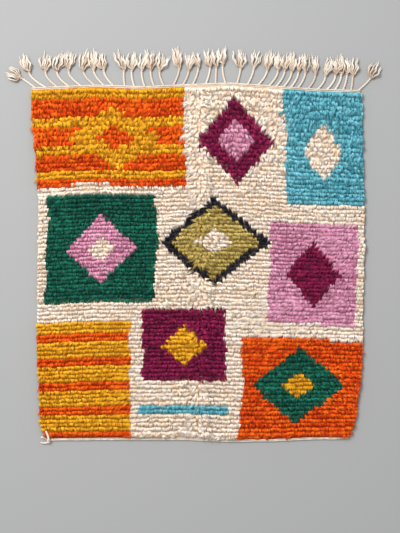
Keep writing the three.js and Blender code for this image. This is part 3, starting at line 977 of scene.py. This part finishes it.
# %% Routes to meshes
def routes_mesh(routes):
    """Chains of edges along the routes. A route is its points, its radii and its shades."""
    mesh = bpy.data.meshes.new("routes")
    points = np.concatenate([route[0] for route in routes]) * MM
    ends = np.cumsum([len(route[0]) for route in routes])
    edges = [(k, k + 1) for k in range(len(points) - 1) if k + 1 not in ends]
    mesh.from_pydata(points.tolist(), edges, [])
    for name, values in (
        ("thick", np.concatenate([np.broadcast_to(route[1], len(route[0])) for route in routes]) * MM),
        ("shade", np.concatenate([np.broadcast_to(route[2], len(route[0])) for route in routes])),
    ):
        mesh.attributes.new(name, "FLOAT", "POINT").data.foreach_set("value", values.astype(np.float32))
    return mesh


def twist(name, routes, step, twist_length, strands=2, corners=5):
    """Twisted cords along routes, as one piece."""
    values = {
        "Step": step * MM,
        "Twist": twist_length * MM,
        "Strands": strands,
        "Corners": corners,
        "Wool": cord_wool,
    }
    return grow(name, routes_mesh(routes), cord_tree, values)


def join(name, pieces):
    """Makes one piece of several."""
    bpy.ops.object.select_all(action="DESELECT")
    for piece in pieces:
        piece.select_set(True)
    bpy.context.view_layer.objects.active = pieces[0]
    bpy.ops.object.join()
    pieces[0].name = pieces[0].data.name = name
    return pieces[0]


# %% [markdown]
# ## Twined hems
# At each end the last wefts are twined: two strands cross between every pair of warps and lock the edge.
# They lie as thin ropes along the bare hem, one at the top and two at the bottom, and only they keep the
# edge from fraying.

# %% Hem ropes
# Edge of the cloth as a share of its length, distance in from it, height, radius
HEM_ROPES = ((1.0, 3.4, 4.6, 3.3), (0.0, 2.8, 7.4, 3.4), (0.0, 8.2, 7.6, 3.0))
ROPE_POINTS = 300
# Share of the width that a rope stops short of each side
HEM_SHORT = 0.002
# How far a rope wanders and rises, and how much its thickness varies
ROPE_WANDER, HEM_RISE, HEM_SWELL = 0.8, 0.4, 0.14
ROPE_SHADE, ROPE_SHADE_VARIES = 0.7, 0.25
# Ropes read the random fields this far apart
ROPE_FIELD_STEP = 500

hem_across = np.linspace(HEM_SHORT, 1 - HEM_SHORT, ROPE_POINTS)
hem_routes = []
for number, (edge, inset, height, radius) in enumerate(HEM_ROPES):
    edge_up = np.full_like(hem_across, edge + (1 - 2 * edge) * inset / LENGTH)
    hem_x, hem_y = in_plan(hem_across, edge_up)
    hem_y = hem_y + ROPE_WANDER * drift(hem_x, hem_y + ROPE_FIELD_STEP * number, 26, 71)
    own_y = hem_y + ROPE_FIELD_STEP * number
    hem_z = height + HEM_RISE * drift(hem_x, own_y, 30, 72)
    hem_radius = radius * (1 + HEM_SWELL * drift(hem_x, own_y, 18, 76))
    hem_shade = ROPE_SHADE + ROPE_SHADE_VARIES * drift(hem_x, hem_y, 16, 73 + number)
    hem_routes.append((np.stack([hem_x, hem_y, hem_z], 1), hem_radius, hem_shade))
hems = twist("twined_hems", hem_routes, step=2.6, twist_length=17.0, corners=4)
print("hems:", triangles_of(hems), "triangles")

# %% [markdown]
# ## The fringe
# The warps leave the top hem in bunches, and each bunch is twisted into a cord, knotted, and left to fray
# into loose ends that fan out on the floor. The table gives each run of tassels. The cord, the knot and the
# loose ends are then three sets of routes through the same tree. The ends are single strands in seven
# locks, which bow out from the knot and taper.

# %% Tassels
CORD_REACH, CORD_REACH_VARIES, CORD_BEND = 66.0, 5.0, 0.45
KNOT_LENGTH = 17.0
END_LENGTH, END_LENGTH_VARIES, END_WIDTH, WIDEST_FAN = 74.0, 9.0, 7.0, 26.0

# Count, first and last root across, first and last sideways lean, reach, turn of the ends in degrees
BUNCHES = (
    (1, -756, -756, -62, -62, 0.55, -64),
    (1, -708, -708, -76, -76, 1.0, -14),
    (3, -656, -546, -54, -58, 0.95, 2),
    (3, -484, -398, -52, -44, 0.9, -8),
    (2, -346, -302, -4, -12, 0.95, 4),
    (3, -254, -166, -14, -20, 1.0, 3),
    (3, -124, -34, 28, 26, 1.0, 6),
    (3, 26, 118, 20, -14, 1.1, 4),
    (3, 170, 266, 16, 42, 1.0, 8),
    (5, 316, 450, 42, 34, 1.0, 4),
    (2, 496, 540, 34, 36, 0.9, 2),
    (4, 582, 694, 40, 8, 1.0, 2),
    (1, 726, 726, 56, 56, 0.8, 34),
)


def uneven(a, b):
    """A fixed, uneven value from -1 to 1 for a pair of whole numbers."""
    wave = math.sin(a * 127.1 + b * 311.7) * 43758.5453
    return 2 * (wave - math.floor(wave)) - 1


def hem_edge(root):
    """The outer edge of the fringe's strip at a place across the loom."""
    return float(edge_at(ENDS, 2, np.clip((root - SIDES[-1, 1]) / (SIDES[-1, 2] - SIDES[-1, 1]), 0, 1)))


tassels = []
for count, first, last, lean_first, lean_last, reach, degrees in BUNCHES:
    for root, lean in zip(np.linspace(first, last, count), np.linspace(lean_first, lean_last, count)):
        tassels.append(
            {"root": root, "lean": lean, "reach": reach * CORD_REACH, "turn": math.radians(degrees)}
        )
knot_places = np.array([tassel["root"] + tassel["lean"] for tassel in tassels])
for number, tassel in enumerate(tassels):
    room = np.abs(np.delete(knot_places, number) - knot_places[number]).min()
    tassel["fan"] = min(WIDEST_FAN, room / 2 - END_WIDTH / 2)
    tassel["reach"] += CORD_REACH_VARIES * uneven(number, 1)
    tassel["length"] = END_LENGTH + END_LENGTH_VARIES * uneven(number, 2)
print(len(tassels), "tassels")

# %% Routes of the cords and knots
CORD_RADIUS, CORD_SHADE, CORD_SHADE_VARIES = 5.2, 0.72, 0.06
ROUTE_POINTS = 14
FLOOR_GAP = 0.4
# Share of the strip's depth that a cord starts inside it, and the rise of its end inside the knot
CORD_START, CORD_END_RISE = 0.6, 2
# The wrap is painted a deeper tone than its cord, as shade in the heart of the knot
WRAP_RADIUS, WRAP_SHADE, WRAP_SHADE_VARIES = 3.8, 0.5, 0.12
WRAP_TURNS, WRAP_POINTS = 1.7, 20
# Start and end of the wrap as shares of the knot's length
WRAP_FROM, WRAP_TO = 0.1, 0.75
# How high the wrap's middle lies over the cord, how far the wrap swings round it, and its height to its width
WRAP_LIFT, WRAP_SWING, WRAP_FLAT = 3.0, 4.4, 0.9
chance = np.random.default_rng(81)


def knot_frame(tassel):
    """Where a tassel's knot lies, the way its loose ends head, and the way across them."""
    heading = np.array([math.sin(tassel["turn"]), math.cos(tassel["turn"]), 0.0])
    side = np.array([heading[1], -heading[0], 0.0])
    knot_y = hem_edge(tassel["root"]) + tassel["reach"]
    return np.array([tassel["root"] + tassel["lean"], knot_y, CORD_RADIUS + FLOOR_GAP]), heading, side


def cord_and_wrap(tassel):
    """A tassel's cord, bent once on its way to the knot, and the wrap of the knot."""
    knot_at, heading, side = knot_frame(tassel)
    start_y = hem_edge(tassel["root"]) - STRIP_DEPTH * CORD_START
    start = np.array([tassel["root"], start_y, CORD_RADIUS + FLOOR_GAP])
    bend = knot_at - CORD_BEND * tassel["reach"] * heading
    t = np.linspace(0, 1, ROUTE_POINTS)[:, None]
    cord_points = (1 - t) ** 2 * start + 2 * t * (1 - t) * bend + t * t * knot_at
    cord_end = knot_at + 0.5 * KNOT_LENGTH * heading + (0, 0, CORD_END_RISE)
    cord_points = np.concatenate([cord_points, [cord_end]])
    cord = (cord_points, CORD_RADIUS, CORD_SHADE + CORD_SHADE_VARIES * chance.normal())

    turn_angle = np.linspace(0, WRAP_TURNS * math.tau, WRAP_POINTS)[:, None]
    wrap_along = np.linspace(WRAP_FROM, WRAP_TO, WRAP_POINTS)[:, None]
    wrap_middle = knot_at + wrap_along * KNOT_LENGTH * heading + (0, 0, WRAP_LIFT)
    over = np.array([0, 0, WRAP_FLAT])
    wrap_points = wrap_middle + WRAP_SWING * (np.cos(turn_angle) * side + np.sin(turn_angle) * over)
    return cord, (wrap_points, WRAP_RADIUS, WRAP_SHADE + WRAP_SHADE_VARIES * chance.normal())


# %% Routes of the loose ends
END_RADIUS = 5.4
LOCKS, ENDS_IN_LOCK = 7, 4
# Place across the loom, least half width of a head
LOOSE_FANS = np.array([(-756, 28), (-400, 25), (0, 20), (726, 20)])
FAN_VARIES, LOCK_LENGTHS, LENGTHS_IN_LOCK = (0.85, 1.2), (0.78, 1.14), (0.8, 1.12)
# How far a head is swept to a side, a lock curls and an end works loose
SWEEP, CURL, WORKED_LOOSE = 14, 14, 3
# How far a head closes or opens towards its tips, and where along the ends it is widest
CLOSING, WIDEST_AT = (-0.3, 0.25), 0.55
# How far a lock strays from its even place, and how much shorter the outer locks are
LOCK_STRAY, OUTER_SHORTER = 0.25, 0.2
# Layers of locks in a head, spread of the locks at the knot, and the space under an end
LAYERS, KNOT_SPREAD, END_GAP = 3, 4, 0.3
# Height at the knot of the lowest locks and of each layer, and how far a layer bows up
ROOT_LIFT, LAYER_LIFT, LAYER_BOW = 3, 2, 2.6
# Where the ends start, and how much of their run lies beside the knot, as shares of its length
START_IN_KNOT, RUN_BY_KNOT = 0.45, 0.4
# Thickness at the root, swell in the middle and loss at the tip, as shares of an end's radius
ROOT_THICK, MIDDLE_SWELL, TIP_LOSS = 0.9, 0.15, 0.8
# Painted shade: tone at the root of the lowest locks, and what a higher layer and the length of an end add to
# it
ROOT_SHADE, LAYER_SHADE, TIP_SHADE = 0.14, 0.1, 0.7
LOCK_SHADE_VARIES, END_SHADE_VARIES = 0.08, 0.1


def loose_ends(tassel):
    """The locks of single strands that fan out of a tassel's knot."""
    knot_at, heading, side = knot_frame(tassel)
    least_fan = np.interp(tassel["root"], *LOOSE_FANS.T)
    fan = max(tassel["fan"], least_fan) * chance.uniform(*FAN_VARIES)
    swept, closing = chance.normal(0, SWEEP), chance.uniform(*CLOSING)
    s = np.linspace(0, 1, ROUTE_POINTS)
    belly = np.sin(0.5 * math.pi * np.minimum(1, s / WIDEST_AT)) + closing * s**2
    spread = KNOT_SPREAD * (1 - s) + (fan - END_RADIUS) * belly
    radius = END_RADIUS * (ROOT_THICK + MIDDLE_SWELL * np.sin(math.pi * s)) * (1 - TIP_LOSS * s**3)
    found = []
    for lock in range(LOCKS):
        part = 2 * lock / (LOCKS - 1) - 1 + chance.uniform(-LOCK_STRAY, LOCK_STRAY)
        layer = chance.uniform(0, LAYERS)
        length = tassel["length"] * (1 - OUTER_SHORTER * abs(part)) * chance.uniform(*LOCK_LENGTHS)
        curl = chance.uniform(-CURL, CURL) * s**2
        lock_shade = ROOT_SHADE + LAYER_SHADE * layer + LOCK_SHADE_VARIES * chance.normal()
        for end in range(ENDS_IN_LOCK):
            loosened = chance.normal(0, WORKED_LOOSE) * s**1.5
            sideways = part * spread + curl + swept * s + loosened
            lift = max(0, layer + chance.uniform(-1, 1))
            height = END_RADIUS + END_GAP + (ROOT_LIFT + LAYER_LIFT * lift) * (1 - s) ** 0.5
            height = height + LAYER_BOW * lift * np.sin(math.pi * s)
            run = length * chance.uniform(*LENGTHS_IN_LOCK) + RUN_BY_KNOT * KNOT_LENGTH
            out = START_IN_KNOT * KNOT_LENGTH + s * run
            points = knot_at * (1, 1, 0) + out[:, None] * heading + sideways[:, None] * side
            points = points + height[:, None] * (0, 0, 1)
            shade_along = lock_shade + TIP_SHADE * s + END_SHADE_VARIES * chance.normal()
            found.append((points, radius, np.clip(shade_along, 0, 1)))
    return found


# %% Fringe
STRIP_HEIGHT, STRIP_RADIUS = 5.2, 4.2
STRIP_RISE, STRIP_SWELL = 0.3, 0.12
# Share of the width that the strip stops short of each side
STRIP_SHORT = 0.001


def on_part(route):
    """Moves a route from the loom's middle to the part's."""
    return (route[0] + (LOOM_MIDDLE[0], LOOM_MIDDLE[1], 0), *route[1:])


made = [(*cord_and_wrap(tassel), loose_ends(tassel)) for tassel in tassels]
cord_routes = [on_part(cord) for cord, wrap, loose in made]
wrap_routes = [on_part(wrap) for cord, wrap, loose in made]
end_routes = [on_part(end) for cord, wrap, loose in made for end in loose]
cords = twist("fringe_cords", cord_routes, step=3.4, twist_length=22.0, corners=6)
wraps = twist("fringe_wraps", wrap_routes, step=3.2, twist_length=12.0, corners=5)
ends = twist("fringe_ends", end_routes, step=5.6, twist_length=36.0, strands=1, corners=4)

strip_across = np.linspace(STRIP_SHORT, 1 - STRIP_SHORT, ROPE_POINTS)
strip_x, strip_y = in_plan(strip_across, np.ones_like(strip_across))
strip_z = STRIP_HEIGHT + STRIP_RISE * drift(strip_x, strip_y, 30, 91)
strip_y = strip_y + PART_GAP + STRIP_DEPTH / 2 + ROPE_WANDER * drift(strip_x, strip_y, 25, 93)
strip_radius = STRIP_RADIUS * (1 + STRIP_SWELL * drift(strip_x, strip_y, 20, 94))
strip_shade = ROPE_SHADE + ROPE_SHADE_VARIES * drift(strip_x, strip_y, 18, 92)
strip_route = (np.stack([strip_x, strip_y, strip_z], 1), strip_radius, strip_shade)
strip = twist("fringe_strip", [strip_route], step=3.0, twist_length=17.0, corners=6)
fringe = join("fringe_tassels", [cords, wraps, ends, strip])
print("fringe:", triangles_of(fringe), "triangles")

# %% [markdown]
# ## The knotted warp end
# At the bottom left corner one warp is tied off in a fat knot with three tails, the last of them thrown back
# over the pile. It is the same twisted wool, so it goes through the same tree.

# %% Corner tie
TIE_X, TIE_Y = -694.0, -806.2
TIE_RADIUS = 5.8
# Where each tail ends beside the knot, how high it climbs, and how far it bows across and up the rug
TIE_TAILS = ((-38, -2, 0, 0, -4), (-35, 22, 0, 5, 4), (-12, 52, 22.5, 5, 0))
TAIL_POINTS = 12
# Share of a tail's length by which it has climbed, and how much it thins
CLIMBED_BY, TAIL_THINS = 0.25, 0.2
TAIL_SHADE, TAIL_SHADE_VARIES = 0.75, 0.1
TIE_WRAP_RADIUS, TIE_WRAP_SHADE = 4.2, 0.7
TIE_WRAP_TURNS, TIE_WRAP_POINTS = 2.1, 26
# Half the length of the wrap, how far it swings round its middle, and how high that lies over the knot's
TIE_WRAP_HALF, TIE_WRAP_SWING, TIE_WRAP_LIFT = 5.5, 4.2, 2.4

tie_middle = np.array([TIE_X, TIE_Y, TIE_RADIUS + FLOOR_GAP])
s = np.linspace(0, 1, TAIL_POINTS)
tie_routes = []
for number, (tail_x, tail_y, climb, bow_x, bow_y) in enumerate(TIE_TAILS):
    tail = tie_middle + s[:, None] * (tail_x, tail_y, 0)
    tail[:, 0] += bow_x * np.sin(math.pi * s)
    tail[:, 1] += bow_y * np.sin(math.pi * s)
    tail[:, 2] += climb * np.minimum(1, s / CLIMBED_BY)
    tail_shade = TAIL_SHADE + TAIL_SHADE_VARIES * number * s
    tie_routes.append(on_part((tail, TIE_RADIUS * (1 - TAIL_THINS * s), tail_shade)))
tie_angle = np.linspace(0, TIE_WRAP_TURNS * math.tau, TIE_WRAP_POINTS)
wrap_x = np.linspace(-TIE_WRAP_HALF, TIE_WRAP_HALF, TIE_WRAP_POINTS)
wrap_y = TIE_WRAP_SWING * np.cos(tie_angle)
wrap_z = TIE_WRAP_LIFT + TIE_WRAP_SWING * np.sin(tie_angle)
wrap_points = tie_middle + np.stack([wrap_x, wrap_y, wrap_z], 1)
tie_routes.append(on_part((wrap_points, TIE_WRAP_RADIUS, TIE_WRAP_SHADE)))
tie = twist("corner_knot", tie_routes, step=2.4, twist_length=14.0, corners=6)
print("corner tie:", triangles_of(tie), "triangles")

# %% [markdown]
# ## On the rug's body
# Each piece rides on the rug's one body. The ground, the fringe and the tie stand for their three solids,
# and every other piece rides along with them.

# %% Ride and replace
for spare in list(tufts.objects):
    bpy.data.objects.remove(spare)
bpy.data.collections.remove(tufts)

for piece in (*pile, ground, hems, fringe, tie):
    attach(piece, "root")
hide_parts("rug_body")
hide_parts("fringe")
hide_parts("corner_tie")

total = sum(triangles_of(piece) for piece in (*pile, ground, hems, fringe, tie))
print(total, "triangles in all")
